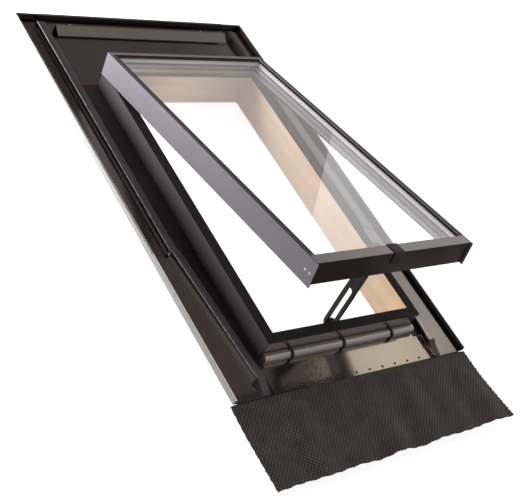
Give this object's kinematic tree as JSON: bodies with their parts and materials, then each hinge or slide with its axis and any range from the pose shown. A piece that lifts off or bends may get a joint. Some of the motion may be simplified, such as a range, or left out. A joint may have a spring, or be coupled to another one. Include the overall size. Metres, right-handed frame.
{
  "type": "roof skylight",
  "caption": "Top-hung roof skylight with a wooden frame, a glazed metal sash propped open on a slotted stay, and folded flashing with a flexible apron.",
  "frame": {"origin": "under the middle of the whole part, on the underside of the wooden frame", "axes": "+Y up the roof slope, +X to the right seen from the eaves, +Z out of the roof plane"},
  "size_m": [0.702, 1.297, 0.3132],
  "materials": {
    "pine": "planed pine, clear",
    "flashing": "dark brown-grey lacquer, satin",
    "sash_metal": "grey-brown lacquer, satin",
    "black_rubber": "matte",
    "apron": "dimpled, matte",
    "steel": "zinc plated",
    "spacer": "satin",
    "black_plastic": "matte",
    "black_paint": "satin",
    "glass": "clear"
  },
  "bodies": {
    "root": {"frame_left": "pine", "frame_right": "pine", "frame_head": "pine", "frame_sill": "pine", "frame_screws": "steel", "frame_gasket": "black_rubber", "left_flashing_upper": "flashing", "right_flashing_upper": "flashing", "left_flashing_lower": "flashing", "right_flashing_lower": "flashing", "head_flashing": "flashing", "head_bar": "flashing", "sill_flashing": "flashing", "sill_bead": "flashing", "sill_clips": "black_plastic", "apron": "apron", "apron_rivets": "black_paint", "hinge_frame_leaves": "steel", "hinge_screws": "steel", "hinge_pins": "steel", "stay_keeper": "black_paint", "keeper_peg": "steel", "keeper_screws": "steel"},
    "sash": {"sash_left_rail": "sash_metal", "sash_right_rail": "sash_metal", "sash_head_rail": "sash_metal", "sash_front_rail": "sash_metal", "corner_cleats": "steel", "sash_rivets": "steel", "outer_pane": "glass", "inner_pane": "glass", "spacer_bar": "spacer", "edge_seal": "black_rubber", "glazing_gasket": "black_rubber", "bedding_tape": "black_rubber", "setting_blocks": "black_plastic", "sash_seal": "black_rubber", "glass_clip": "black_plastic", "hinge_sash_leaves": "steel", "hinge_rivets": "steel", "stay_bracket": "black_paint", "bracket_rivets": "steel", "stay_pin": "steel"},
    "stay": {"stay_arm": "black_paint"}
  },
  "joints": [
    {"name": "sash_hinge", "type": "hinge", "parent": "root", "child": "sash", "pos_m": [0, 0.4065, 0.093], "axis": [-1, 0, 0], "range_deg": [-13, 0]},
    {"name": "stay_pivot", "type": "hinge", "parent": "sash", "child": "stay", "pos_m": [0, -0.30801, 0.26104], "axis": [-1, 0, 0], "range_deg": [0, 7.3]}
  ],
  "couplings": [
    {"joint": "stay_pivot", "follows": "sash_hinge", "ratio": -0.555}
  ]
}
